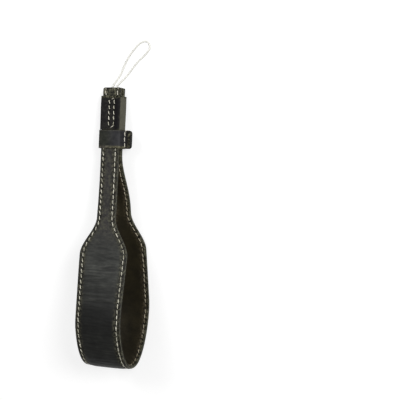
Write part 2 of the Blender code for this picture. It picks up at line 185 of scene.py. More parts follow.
def strap_line():
    """The glue line between the plies, from the back leg's end round the loop to the front leg's."""
    def leg_place(along, up):
        point = head_point(along, 0, up)
        return np.array([point.y, point.z])

    def loop_place(y, z):
        return np.array([y + BACK_SHIFT, z])

    back_end, back_straight = leg_place(0, -LEG_MIDDLE), leg_place(STRAIGHT_RUN, -LEG_MIDDLE)
    landing = loop_place(LANDING_Y, BAND_OUTER + LANDING_RISE)
    rest_start = loop_place(REST_START_Y, BAND_OUTER)
    lift_off = loop_place(LIFT_OFF_Y, BAND_OUTER)
    tip, crown = loop_place(BAND_OUTER, TIP_HEIGHT), loop_place(CROWN_Y, CROWN_HEIGHT)
    front_straight, front_end = leg_place(STRAIGHT_RUN, LEG_MIDDLE), leg_place(0, LEG_MIDDLE)
    outward, inward = math.pi - HEAD_PITCH, -HEAD_PITCH
    leg_pull = STRAIGHT_RUN / 3
    settling_pull, flat_pull = (LANDING_Y - REST_START_Y) / 3, (REST_START_Y - LIFT_OFF_Y) / 3
    bends = [
        bend(back_end, outward, leg_pull, back_straight, outward, leg_pull),
        bend(back_straight, outward, LEG_BACK_PULL, landing, math.pi, LANDING_PULL),
        bend(landing, math.pi, settling_pull, rest_start, math.pi, settling_pull),
        bend(rest_start, math.pi, flat_pull, lift_off, math.pi, flat_pull),
        bend(lift_off, math.pi, TIP_IN_PULL, tip, math.pi / 2, TIP_IN_PULL),
        bend(tip, math.pi / 2, TIP_OUT_PULL, crown, 0, CROWN_IN_PULL),
        bend(crown, 0, CROWN_OUT_PULL, front_straight, inward, LEG_FRONT_PULL),
        bend(front_straight, inward, leg_pull, front_end, inward, leg_pull),
    ]
    points = np.vstack([bends[0]] + [piece[1:] for piece in bends[1:]])
    return points, places_along(points)


LINE_POINTS, LINE_PLACES = strap_line()
STRAP_LENGTH = float(LINE_PLACES[-1])


def ease(share):
    share = np.clip(share, 0.0, 1.0)
    return share * share * (3 - 2 * share)


def climb(value, start, reach):
    """0 up to a start, then smoothly to 1 over a reach."""
    return ease((value - start) / reach)


def wideness(place):
    """0 on the narrow legs, 1 on the wide band."""
    return climb(np.minimum(place, STRAP_LENGTH - place), LEG_LENGTH, FLARE_LENGTH)


def half_width(place):
    return (LEG_WIDTH + (BAND_WIDTH - LEG_WIDTH) * wideness(place)) / 2


def seam_inset(place, side):
    """Distance of an edge seam from the strap's edge: a little more on the left of the wide band."""
    return EDGE_INSET + BAND_SEAM_SHIFT * wideness(place) * (side > 0)


def twist(place):
    from_middle = np.abs(STRAP_LENGTH - place - FRONT_TWIST_PLACE)
    share = np.clip(from_middle / FRONT_TWIST_REACH, 0.0, 1.0)
    return FRONT_TWIST * np.cos(math.pi / 2 * share) ** 2


# Small tools

def deselect():
    bpy.ops.object.select_all(action="DESELECT")


def pick(*things):
    deselect()
    for thing in things:
        thing.select_set(True)
    bpy.context.view_layer.objects.active = things[0]


def apply_modifiers(thing):
    pick(thing)
    for name in [modifier.name for modifier in thing.modifiers]:
        bpy.ops.object.modifier_apply(modifier=name)


def coordinates(thing):
    table = np.zeros(len(thing.data.vertices) * 3)
    thing.data.vertices.foreach_get("co", table)
    return table.reshape(-1, 3)


def set_coordinates(thing, table):
    thing.data.vertices.foreach_set("co", np.ascontiguousarray(table, dtype=float).ravel())
    thing.data.update()


def mark(thing, **marks):
    """Keep named numbers for each vertex, for the materials to read."""
    for name, values in marks.items():
        layer = thing.data.attributes.new(name, "FLOAT", "POINT")
        layer.data.foreach_set("value", np.ascontiguousarray(values, dtype=np.float32))


def join(things, name):
    pick(*things)
    bpy.ops.object.join()
    joined = bpy.context.object
    joined.name = joined.data.name = name
    return joined


def copy_of(thing, matrix):
    """A copy with its own mesh, carried by a matrix while its object stays unturned."""
    twin = thing.copy()
    twin.data = thing.data.copy()
    bpy.context.collection.objects.link(twin)
    twin.data.transform(matrix)
    return twin


def placed(name, data):
    """A new object of some data, in the scene."""
    thing = bpy.data.objects.new(name, data)
    bpy.context.collection.objects.link(thing)
    return thing


def poly_curve(name, points):
    """A curve object along a line of points."""
    curve = bpy.data.curves.new(name, "CURVE")
    curve.dimensions = "3D"
    line = curve.splines.new("POLY")
    line.points.add(len(points) - 1)
    for target, point in zip(line.points, points):
        target.co = (*point, 1.0)
    return placed(name, curve)


def soften_edges(thing, width):
    """Round the sharp edges of a piece a little."""
    soften = thing.modifiers.new("soften", "BEVEL")
    soften.width = width
    soften.segments = 2
    soften.limit_method = "ANGLE"
    soften.angle_limit = SHARP_ANGLE


def finished(thing, material, body, slot, *nodes):
    """Smooth shading, material, body, slot (not used) and the CAD nodes that this piece stands for."""
    pick(thing)
    bpy.ops.object.shade_smooth()
    thing.data.materials.clear()
    thing.data.materials.append(material)
    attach(thing, body)
    if nodes:
        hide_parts(*nodes)


def drawn_bar(name, outline, start, end, closed=True):
    """A closed outline of (Y, Z) points drawn out along X, with both ends filled."""
    deselect()
    bpy.ops.mesh.primitive_circle_add(vertices=len(outline), fill_type="NOTHING")
    bar = bpy.context.object
    bar.name = bar.data.name = name
    for vert, (y, z) in zip(bar.data.vertices, outline):
        vert.co = (start, y, z)
    draw = bar.modifiers.new("draw", "SCREW")
    draw.axis = "X"
    draw.angle = 0
    draw.screw_offset = end - start
    draw.steps = draw.render_steps = round(abs(end - start) / RING_STEP)
    apply_modifiers(bar)
    bpy.ops.object.mode_set(mode="EDIT")
    bpy.ops.mesh.select_all(action="SELECT")
    bpy.ops.mesh.remove_doubles(threshold=1e-6)
    if closed:
        bpy.ops.mesh.fill_holes(sides=0)
    bpy.ops.mesh.normals_make_consistent(inside=False)
    bpy.ops.object.mode_set(mode="OBJECT")
    return bar


def bend_along_strap(thing):
    """Bend a flat piece along the strap's line, so that its Z faces out of the strap."""
    line = poly_curve("strap_spine", [(0, y, z) for y, z in LINE_POINTS])
    line.data.twist_mode = "MINIMUM"
    for point, place in zip(line.data.splines[0].points, LINE_PLACES):
        point.tilt = math.pi + float(twist(place))
    follow = thing.modifiers.new("follow", "CURVE")
    follow.object = line
    follow.deform_axis = "POS_X"
    apply_modifiers(thing)
    bpy.data.objects.remove(line)


# Seams

def stitch_run(start, end):
    """Start and end of each stitch of a row centred between two places."""
    count = int((end - start - STITCH_LENGTH) / STITCH_PITCH) + 1
    first = (start + end - (count - 1) * STITCH_PITCH - STITCH_LENGTH) / 2
    return [(first + k * STITCH_PITCH, first + k * STITCH_PITCH + STITCH_LENGTH) for k in range(count)]


def edge_seam():
    """The stitches along the strap's edges, left off where the sleeve covers them."""
    covered = END_REACH + SLEEVE_LENGTH
    tail = [(0.5 * MM, 1.6 * MM), (2.5 * MM, 5.7 * MM)]
    far_tail = [(STRAP_LENGTH - end, STRAP_LENGTH - start) for start, end in reversed(tail)]
    return tail + stitch_run(covered, STRAP_LENGTH - covered) + far_tail


STITCH_SIDES = 8
STITCH_RINGS = 9
STITCH_SINK = 0.5 * MM
STITCH_TAPER = 0.45
STRAND_SWELL = 0.16
STRAND_TURN = 2 * math.pi / (1.7 * MM)


def make_stitch(bow=0.0):
    """One stitch of two-strand thread, along X, whose ends dive into their holes."""
    deselect()
    bpy.ops.mesh.primitive_cylinder_add(vertices=STITCH_SIDES, radius=THREAD / 2, depth=STITCH_LENGTH,
                                        rotation=(0, math.pi / 2, 0))
    stitch = bpy.context.object
    bpy.ops.object.transform_apply(location=False, rotation=True, scale=False)
    bpy.ops.object.mode_set(mode="EDIT")
    bpy.ops.mesh.select_all(action="DESELECT")
    bpy.ops.object.mode_set(mode="OBJECT")
    for edge in stitch.data.edges:
        ends = [stitch.data.vertices[k].co.x for k in edge.vertices]
        edge.select = abs(ends[0] - ends[1]) > STITCH_LENGTH / 2
    bpy.ops.object.mode_set(mode="EDIT")
    bpy.ops.mesh.subdivide(number_cuts=STITCH_RINGS - 2)
    bpy.ops.object.mode_set(mode="OBJECT")
    table = coordinates(stitch)
    share = table[:, 0] / (STITCH_LENGTH / 2)
    around = np.arctan2(table[:, 2], table[:, 1])
    lobes = 1 + STRAND_SWELL * np.cos(2 * (around - table[:, 0] * STRAND_TURN))
    taper = lobes * (1 - STITCH_TAPER * np.abs(share) ** 6)
    table[:, 1] = table[:, 1] * taper + bow * (1 - share ** 2)
    table[:, 2] = table[:, 2] * taper - STITCH_SINK * np.abs(share) ** 4
    set_coordinates(stitch, table)
    return stitch


# How unevenly the stitches are sewn: shifts in mm, turn in degrees, range of each size, spread of the soil
STITCH_SHIFTS = (0.08, 0.07)
STITCH_TURN = 3.0
STITCH_SIZES = ((0.92, 1.06), (0.85, 1.1), (0.85, 1.05))
SOIL_SPREAD = 0.22


def sew(name, places, seed, soils, bow=0.0):
    """Copies of one stitch at each matrix, each a little off, as one piece. Some are darker, from soil and
    painted shade.
    """
    rng = np.random.default_rng(seed)
    model = make_stitch(bow)
    stitches = []
    for place, soiled in zip(places, np.broadcast_to(soils, len(places))):
        shift = Matrix.Translation([rng.normal(0, spread) * MM for spread in STITCH_SHIFTS] + [0])
        turn = Matrix.Rotation(math.radians(rng.normal(0, STITCH_TURN)), 4, "Z")
        size = Matrix.Diagonal([rng.uniform(*span) for span in STITCH_SIZES] + [1])
        stitch = copy_of(model, place @ shift @ turn @ size)
        dirt = np.clip(soiled + rng.normal(0, SOIL_SPREAD), 0, 1)
        # soil, whose highest values are painted shade
        mark(stitch, soil=np.full(len(stitch.data.vertices), dirt))
        stitches.append(stitch)
    bpy.data.objects.remove(model)
    return join(stitches, name)


def stitch_place(along, across, up, turn, stretch=1.0):
    """Matrix of one stitch, by its middle, its turn and its stretch. On an underside it lies upside down."""
    over = Matrix.Rotation(math.pi, 4, "X") if up < 0 else Matrix.Identity(4)
    spot = Matrix.Translation((along, across, up)) @ Matrix.Rotation(turn, 4, "Z")
    return spot @ over @ Matrix.Diagonal((stretch, 1, 1, 1))


def seam_places(face, side, lean):
    """Matrices of the stitches of one edge row: on a face (its height), on one side, leaning a little."""
    places = []
    for start, end in edge_seam():
        middle = (start + end) / 2
        near, far, across = (side * (half_width(place) - seam_inset(place, side))
                             for place in (start, end, middle))
        turn = math.atan2(far - near, end - start) + lean
        stretch = STITCH_OVERRUN * (end - start) / STITCH_LENGTH
        places.append(stitch_place(middle, across, face, turn, stretch))
    return places


# Strap plies

EDGE_ROUND = 0.55 * MM
GLUED_ROUND = 0.2 * MM
PLY_PARTING = 0.06 * MM
CORNER_STEPS = 4
MIDDLE_STEPS = 18
FACE_INSETS = [inset * MM for inset in (0.9, 1.25, 1.6, 1.95, 2.3, 2.65, 3.0, 3.45, 4.0)]
GROOVE_DEPTH = 0.3 * MM
GROOVE_REACH = 0.7 * MM
RIM_SLOPE = 0.28 * MM
HOLE_DEPTH = 0.42 * MM
HOLE_LENGTH = 0.55 * MM
HOLE_WIDTH = 0.75 * MM
HOLE_PULL = 0.35 * MM
SEAM_WEAR_IN = 2.6 * MM
SEAM_WEAR_OUT = 1.5 * MM
LEG_CROWN = 0.22 * MM
LEG_CROWN_START = 20.0 * MM
DOME_FLAT_SHARE = 0.72
DOME_ROUND_SHARE = 0.28
LINING_RISE = 0.15 * MM

# Start and reach of what changes inwards from an edge, and up the cut edge
DOME_SHOULDER = (3.0 * MM, 5.5 * MM)
RIM_WEAR = (0.8 * MM, 1.2 * MM)
# Painted shade along one edge of a ply's face
EDGE_SHADE_SPAN = (0.3 * MM, 0.8 * MM)
CUT_SHARE = (0.55, 0.4)

# Creases: how many, how far along the flare they start, their spread, length and width in mm, and depth
CREASE_COUNT = 230
CREASE_START = 0.4 * FLARE_LENGTH
CREASE_SPREAD = 11
CREASE_LENGTHS = (3, 9)
CREASE_WIDTHS = (0.35, 0.7)
CREASE_DEPTHS = (0.3, 1.0)
CREASE_SLANT = 0.07
CREASE_SAG = 0.006
CREASE_END = 4 * MM
FACE_CREASE = 0.14 * MM
LINING_CREASE = 0.08 * MM
DEEP_SAG = 0.004
DEEP_SHARE = 1.6
CREASE_LIMIT = 1.8

# Deeper creases: place from the front end, width and middle across in mm, and depth
DEEP_CREASES = ((152.5, 0.9, 2.0, 1.0), (156.0, 1.0, 3.0, 0.75), (160.5, 1.3, -4.0, 0.9))

# Painted highlight and painted shade along the band's face, where it curves towards and away from the light:
# start from the front end and reach, in mm, and how much lighter
PAINTED_LIGHT_STAGES = ((126, 7, 0.32), (135, 12, -0.49), (154, 13, -0.62), (172, 22, 0.33))


def ply_outline(glued, face):
    """Section of a ply at the legs' width, from its glued side round both edges to its face."""
    half = LEG_WIDTH / 2
    out = 1 if face > glued else -1
    right = [(half - GLUED_ROUND, glued), (half, glued + out * GLUED_ROUND)]
    for k in range(CORNER_STEPS + 1):
        angle = math.pi / 2 * k / CORNER_STEPS
        right.append((half - EDGE_ROUND * (1 - math.cos(angle)),
                      face - out * EDGE_ROUND * (1 - math.sin(angle))))
    right += [(half - inset, face) for inset in FACE_INSETS]
    middle = half - EDGE_STRIP
    inner = [(middle * (1 - 2 * k / MIDDLE_STEPS), face) for k in range(1, MIDDLE_STEPS)]
    left = [(-y, z) for y, z in reversed(right)]
    return right + inner + left


def widen(table):
    """Spread the middle of a flat ply to the strap's width, while its edge strips keep theirs."""
    half = half_width(table[:, 0])
    middle = LEG_WIDTH / 2 - EDGE_STRIP
    side = table[:, 1]
    stretched = side * (half - EDGE_STRIP) / middle
    shifted = side + np.sign(side) * (half - LEG_WIDTH / 2)
    table[:, 1] = np.where(np.abs(side) <= middle + 1e-9, stretched, shifted)
    return half - np.abs(table[:, 1])


def bell(distance, reach):
    return np.exp(-(distance / reach) ** 2)


def needle_holes(places, from_seam):
    """How deep each place lies in a needle hole. The thread pulls a stitch's two holes to opposite sides."""
    depth = np.zeros(len(places))
    for end, pull in ((0, HOLE_PULL), (1, -HOLE_PULL)):
        holes = np.array([stitch[end] for stitch in edge_seam()])
        after = np.clip(np.searchsorted(holes, places), 1, len(holes) - 1)
        to_hole = np.minimum(np.abs(places - holes[after - 1]), np.abs(places - holes[after]))
        depth = np.maximum(depth, bell(to_hole, HOLE_LENGTH) * bell(from_seam + pull, HOLE_WIDTH))
    return depth


def creases(table, half, seed, deepest):
    """Fine creases across the wide band, where the leather has been bent often, and three deeper ones."""
    rng = np.random.default_rng(seed)
    depth = np.zeros(len(table))
    first, last = LEG_LENGTH + CREASE_START, STRAP_LENGTH - LEG_LENGTH - CREASE_START
    for _ in range(CREASE_COUNT):
        place = rng.uniform(first, last)
        middle, reach = rng.uniform(-CREASE_SPREAD, CREASE_SPREAD) * MM, rng.uniform(*CREASE_LENGTHS) * MM
        slant, sag = rng.normal(0, CREASE_SLANT), rng.normal(0, CREASE_SAG / MM)
        strength, narrow = rng.uniform(*CREASE_DEPTHS), rng.uniform(*CREASE_WIDTHS) * MM
        near = np.abs(table[:, 0] - place) < CREASE_END
        side = table[near, 1] - middle
        line = place + slant * side + sag * side ** 2
        depth[near] += strength * bell(table[near, 0] - line, narrow) * bell(side, reach)
    for from_front, narrow, middle, strength in DEEP_CREASES:
        side = table[:, 1] - middle * MM
        line = STRAP_LENGTH - from_front * MM + DEEP_SAG / MM * side ** 2
        across = bell(side, CREASE_SPREAD * MM)
        depth += DEEP_SHARE * strength * bell(table[:, 0] - line, narrow * MM) * across
    depth = np.minimum(depth, CREASE_LIMIT) * wideness(table[:, 0]) * climb(half, EDGE_STRIP, EDGE_STRIP)
    return depth * deepest


# Notches torn in the ends: share of the width from the left, depth and width in mm
END_NOTCHES = ((0.41, 0.8, 0.4), (0.73, 1.6, 0.6))
NOTCH_SLANT = 0.43
END_CORNER_WIDTH = 1.5 * MM
LEFT_CORNER_LENGTH = 2.2 * MM
RIGHT_CORNER_LENGTH = 0.6 * MM
END_RAGGED = 0.13 * MM


def end_cut(side, below):
    """How far a raw end is worn back at each place across it and below the head's front face.

    Its corners are rounded, and the notches are torn on a slant through all the plies.
    """
    cut = np.zeros(len(side))
    for place, depth, width in END_NOTCHES:
        from_notch = (0.5 - place) * LEG_WIDTH - side + NOTCH_SLANT * below
        cut += depth * MM * bell(from_notch, width * MM)
    corner = np.clip(1 - (LEG_WIDTH / 2 - np.abs(side)) / END_CORNER_WIDTH, 0, 1)
    cut += np.where(side > 0, LEFT_CORNER_LENGTH, RIGHT_CORNER_LENGTH) * (1 - np.sqrt(1 - corner ** 2))
    cut += END_RAGGED * (np.sin(side * 7.3 / MM) + np.sin(side * 4.1 / MM + 1.0) + 2) / 2
    return cut


def shape_ends(table):
    """Wear back both raw ends of the strap."""
    near = np.clip(1 - table[:, 0] / END_REACH, 0, 1)
    far = np.clip(1 - (STRAP_LENGTH - table[:, 0]) / END_REACH, 0, 1)
    side, out = table[:, 1].copy(), table[:, 2]
    table[:, 0] += end_cut(side, LEGS_HALF + LEG_MIDDLE + out) * near
    table[:, 0] -= end_cut(side, LEGS_HALF - LEG_MIDDLE - out) * far


def shape_ply(ply, glued, face, rise, seed, crease_depth):
    """Widen a flat ply, then give its face the dome, seam grooves, needle holes and creases."""
    table = coordinates(ply)
    inset = widen(table)
    place, side = table[:, 0].copy(), table[:, 1].copy()
    half = half_width(place)
    wide = wideness(place)
    from_front = STRAP_LENGTH - place
    from_end = np.minimum(place, from_front)
    from_seam = inset - seam_inset(place, side)
    lift = climb(table[:, 2], glued, face - glued)
    crown = 1 - (side / half) ** 2
    past_head = climb(from_end, LEG_CROWN_START, LEG_CROWN_START)
    dome = wide * rise * (DOME_FLAT_SHARE * climb(inset, *DOME_SHOULDER) + DOME_ROUND_SHARE * crown)
    dome += (1 - wide) * LEG_CROWN * crown * past_head
    slope = RIM_SLOPE * (1 - ease(inset / EDGE_INSET)) * past_head
    groove = GROOVE_DEPTH * bell(from_seam, GROOVE_REACH)
    hole = needle_holes(place, from_seam)
    folds = creases(table, half, seed, crease_depth)
    out = 1 if face > glued else -1
    table[:, 2] += out * lift * (dome - slope - groove - HOLE_DEPTH * hole - folds)
    tones = [gain * climb(from_front, start * MM, reach * MM) for start, reach, gain in PAINTED_LIGHT_STAGES]
    mark(ply,
         seam=bell(from_seam, np.where(from_seam > 0, SEAM_WEAR_IN, SEAM_WEAR_OUT)),
         # hole: painted shade in the needle holes
         hole=hole * (lift > 0.5),
         rim=1 - climb(inset, *RIM_WEAR),
         edge=1 - climb(lift, *CUT_SHARE),
         # painted shade in the creases
         fold=folds / crease_depth,
         # tone: painted highlight and painted shade along the band
         tone=1 + sum(tones),
         raw=1 - climb(from_end, END_REACH, MM),
         leg=1 - wide,
         # outline: painted shade along the outer ply's left edge and the lining's right edge
         outline=(1 - climb(inset, *EDGE_SHADE_SPAN)) * (side * out > 0))
    shape_ends(table)
    set_coordinates(ply, table)


def make_ply(name, glued, face, rise, seed, crease_depth, material, slot, node):
    """One ply of the strap, from its glued side to its face."""
    ply = drawn_bar(name, ply_outline(glued, face), 0, STRAP_LENGTH)
    shape_ply(ply, glued, face, rise, seed, crease_depth)
    bend_along_strap(ply)
    finished(ply, material, "root", slot, node)


def make_edge_seams(thread, inside_thread):
    """The four rows of stitches along the strap's edges: pale outside, dull tan inside."""
    sunk = 0.1 * MM
    top, bottom = FACE_HEIGHT - sunk, LINING_HEIGHT + sunk
    rows = (("seam_face_left", top, 1, 0.24, 0.30, thread, "stitching"),
            ("seam_face_right", top, -1, 0.07, 0.22, thread, "stitching"),
            ("seam_inside_left", bottom, 1, -0.13, 0.45, inside_thread, "inside_stitching"),
            ("seam_inside_right", bottom, -1, -0.13, 0.22, inside_thread, "inside_stitching"))
    for seed, (name, face, side, lean, soiled, material, slot) in enumerate(rows):
        soils = [soiled - CLEANER_ON_LEGS * (1 - wideness(start)) for start, _ in edge_seam()]
        seam = sew(name, seam_places(face, side, lean), 20 + seed, soils)
        bend_along_strap(seam)
        finished(seam, material, "root", slot)


# Head

def rounded_outline(half_wide, half_high, radius, spacing):
    """Evenly spaced points of a rounded rectangle, anticlockwise from the middle of its right side."""
    arc = math.pi / 2 * radius
    wide, high = 2 * (half_wide - radius), 2 * (half_high - radius)
    total = 2 * (wide + high) + 4 * arc
    points = []
    for k in range(round(total / spacing)):
        left = total * k / round(total / spacing) + high / 2
        angle = 0.0
        corner = np.array([half_wide, -half_high + radius])
        for straight in (high, wide, high, wide):
            heading = np.array([-math.sin(angle), math.cos(angle)])
            if left <= straight:
                points.append(tuple(corner + heading * left))
                break
            left -= straight
            corner = corner + heading * straight
            outward = np.array([math.cos(angle), math.sin(angle)])
            if left <= arc:
                turn = left / radius
                centre = corner - outward * radius
                points.append((centre[0] + radius * math.cos(angle + turn),
                               centre[1] + radius * math.sin(angle + turn)))
                break
            left -= arc
            angle += math.pi / 2
            corner = corner - outward * radius + heading * radius
    return points


BOX_SHIFT = 0.8 * MM
PINCH_DEPTH = 0.45 * MM
PINCH_RUN = 3.0 * MM
PINCH_ROW_REACH = 1.1 * MM
PINCH_MIDDLE_REACH = 1.6 * MM
PINCH_MIDDLE_SHARE = 0.55
BOX_HOLE_DEPTH = 0.25 * MM
BOX_HOLE_WIDTH = 0.6 * MM
BOX_WEAR = 1.0 * MM
SIDE_SWELL = 0.12 * MM
SIDE_SWELL_REACH = 8.0 * MM
SIDE_SWELL_PLACE = END_REACH + 0.4 * SLEEVE_LENGTH

# Worn places of the sleeve and the keeper, a darker stripe on the sleeve, and the reach of painted shade
# along their left sides
SLEEVE_END_WEAR = 1.3 * MM
THIN_END_WEAR = 0.5 * MM
THIN_END_SHARE = 0.5
SIDE_SHADE_REACH = 0.9 * MM
DARKER_STRIPE = 5.2 * MM
DARKER_STRIPE_REACH = 1.9 * MM

# Box seam: lean of its rows, then shift along, place across, turn and stretch of its link and its hook
BOX_SINK = 0.1 * MM
BOX_LEANS = (17, 9)
BOX_LINK = (-0.55 * MM, 1.05 * MM, 124, 0.95)
BOX_HOOK = (0.6 * MM, 0.85 * MM, -57, 1.15)
BOX_HOOK_BOW = 0.45 * MM


def make_sleeve():
    """Leather sleeve round both strap ends, drawn in along its box stitching."""
    start, end = END_REACH, END_REACH + SLEEVE_LENGTH
    outline = rounded_outline(SLEEVE_HALF_WIDTH, SLEEVE_HALF, SLEEVE_CORNER, RING_STEP)
    sleeve = drawn_bar("head_wrap", outline, start, end, closed=False)
    table = coordinates(sleeve)
    along, across, up = table.T
    inside = ease(np.minimum(along - start, end - along) / PINCH_RUN)
    flat = ease((np.abs(up) - SLEEVE_HALF + 0.25 * MM) / (0.2 * MM))
    row = np.abs(across - BOX_SHIFT) - BOX_ROW_SPACING / 2
    rows = bell(row, PINCH_ROW_REACH) + PINCH_MIDDLE_SHARE * bell(across - BOX_SHIFT, PINCH_MIDDLE_REACH)
    holes = np.array([place for stitch in box_rows() for place in stitch])
    to_hole = np.abs(along[:, None] - holes[None, :]).min(axis=1)
    hole = bell(to_hole, HOLE_LENGTH) * bell(row, BOX_HOLE_WIDTH) * flat
    up -= np.sign(up) * (PINCH_DEPTH * rows * inside * flat + BOX_HOLE_DEPTH * hole)
    across += np.sign(across) * SIDE_SWELL * bell(along - SIDE_SWELL_PLACE, SIDE_SWELL_REACH) * (1 - flat)
    mark(sleeve,
         rim=bell(along - start, SLEEVE_END_WEAR) + THIN_END_SHARE * bell(end - along, THIN_END_WEAR),
         seam=bell(row, BOX_WEAR) * inside * flat,
         # hole: painted shade in the box stitching's needle holes
         hole=hole,
         # outline: painted shade along the sleeve's left side
         outline=bell(across + SLEEVE_HALF_WIDTH, SIDE_SHADE_REACH),
         # side: painted highlight on the sleeve's right side
         side=ease((across - SLEEVE_HALF_WIDTH + 0.7 * MM) / (0.6 * MM)),
         # dull: a darker stripe down the front and back, right of the middle
         dull=bell(across - DARKER_STRIPE, DARKER_STRIPE_REACH) * flat)
    set_coordinates(sleeve, table)
    wall = sleeve.modifiers.new("wall", "SOLIDIFY")
    wall.thickness = SLEEVE_WALL
    wall.offset = -1
    soften_edges(sleeve, 0.2 * MM)
    apply_modifiers(sleeve)
    sleeve.data.transform(HEAD_FRAME)
    finished(sleeve, wrap_leather(), "root", "sleeve_leather", "head_sleeve")


def head_seam(name, places, hooks, bow, seed, soiled, thread, body):
    """Straight stitches and bowed hooks at the head, as one seam."""
    rows, bowed = sew("rows", places, seed, soiled), sew("hooks", hooks, seed + 1, 0.1, bow)
    seam = join([rows, bowed], name)
    seam.data.transform(HEAD_FRAME)
    finished(seam, thread, body, "stitching")


def box_rows():
    return stitch_run(END_REACH + BOX_MARGIN, END_REACH + SLEEVE_LENGTH - BOX_MARGIN)


def make_box_seam(thread):
    """Box stitching through the sleeve: two leaning rows, a link above them and a hook below."""
    rows = box_rows()
    height = SLEEVE_HALF - PINCH_DEPTH + BOX_SINK
    places, hooks = [], []
    for up in (height, -height):
        for across, lean in zip((-BOX_ROW_SPACING / 2, BOX_ROW_SPACING / 2), BOX_LEANS):
            places += [stitch_place((start + end) / 2, BOX_SHIFT + across, up, math.radians(lean))
                       for start, end in rows]
        for place, (shift, across, turn, stretch) in ((rows[0][0], BOX_LINK), (rows[-1][1], BOX_HOOK)):
            hooks.append(stitch_place(place + shift, BOX_SHIFT + across, up, math.radians(turn), stretch))
    head_seam("seam_box", places, hooks, BOX_HOOK_BOW, 31, 0.12, thread, "root")


# Keeper

def arc(centre_y, centre_z, radius, start, end):
    """Points of an arc between two angles."""
    turns = np.linspace(start, end, 2 * CORNER_STEPS + 1)
    return [(centre_y + radius * math.cos(turn), centre_z + radius * math.sin(turn)) for turn in turns]


def evenly(points, spacing):
    """Points at an even spacing along a line of points."""
    table = np.array(points)
    places = places_along(table)
    at = np.linspace(0, places[-1], round(places[-1] / spacing) + 1)
    return list(zip(np.interp(at, places, table[:, 0]), np.interp(at, places, table[:, 1])))


# Where the two ends of the keeper's strip meet, beside the legs
KEEPER_ROOT = LEG_WIDTH / 2 + KEEPER_SLACK + KEEPER_ROOT_REACH


def keeper_outline():
    """Section of the keeper: square round the legs' left side, sloping to a sewn tab on the right."""
    inner_wide, inner_high = LEG_WIDTH / 2 + KEEPER_SLACK, LEGS_HALF + KEEPER_SLACK
    slit, tab_top = PIECE_GAP / 2, PIECE_GAP / 2 + KEEPER_WALL
    inner_shoulder = KEEPER_SHOULDER - KEEPER_WALL
    shoulder = (inner_wide + KEEPER_SHOULDER_ROOM - inner_shoulder, inner_high - inner_shoulder)
    corner = (-inner_wide + KEEPER_CORNER - KEEPER_WALL, inner_high - KEEPER_CORNER + KEEPER_WALL)
    run, drop = KEEPER_ROOT - shoulder[0], shoulder[1] - tab_top
    slope = math.acos(KEEPER_SHOULDER / math.hypot(run, drop)) - math.atan2(drop, run)
    quarter, tip = math.pi / 2, KEEPER_ROOT + TAB_REACH
    outside = [(tip, slit), (tip, tab_top), (KEEPER_ROOT, tab_top)]
    outside += arc(*shoulder, KEEPER_SHOULDER, slope, quarter) + arc(*corner, KEEPER_CORNER, quarter, math.pi)
    outside.append((outside[-1][0], 0))
    inside = arc(*corner, KEEPER_CORNER - KEEPER_WALL, math.pi, quarter)
    inside = [(inside[0][0], 0)] + inside + arc(*shoulder, inner_shoulder, quarter, slope)
    last_y, last_z = inside[-1]
    inside += [(last_y + (last_z - slit) * math.tan(slope), slit), (tip, slit)]
    outside, inside = evenly(outside, 0.4 * MM), evenly(inside, 0.6 * MM)
    below = [(y, -z) for y, z in reversed(outside[:-1])]
    inside_below = [(y, -z) for y, z in reversed(inside[1:])]
    return outside + below + inside_below[1:] + inside[:-1]


KEEPER_BOW = 0.18 * MM
KEEPER_BOW_REACH = 7.0 * MM
TAB_GROOVE = 0.34 * MM
TAB_GROOVE_SHIFT = 1.2 * MM
TAB_GROOVE_REACH = 0.75 * MM
TAB_SHADE_REACH = 0.85 * MM

# Tab seam: its stitches' turn and stretch, then shift along and across, turn and stretch of its hook
TAB_SEAM_SINK = 0.08 * MM
TAB_STITCH = (5, 1.15)
TAB_HOOK = (0.35 * MM, 0.75 * MM, 118, 0.62)
TAB_HOOK_BOW = 0.3 * MM
OVER_EDGE = 0.05 * MM


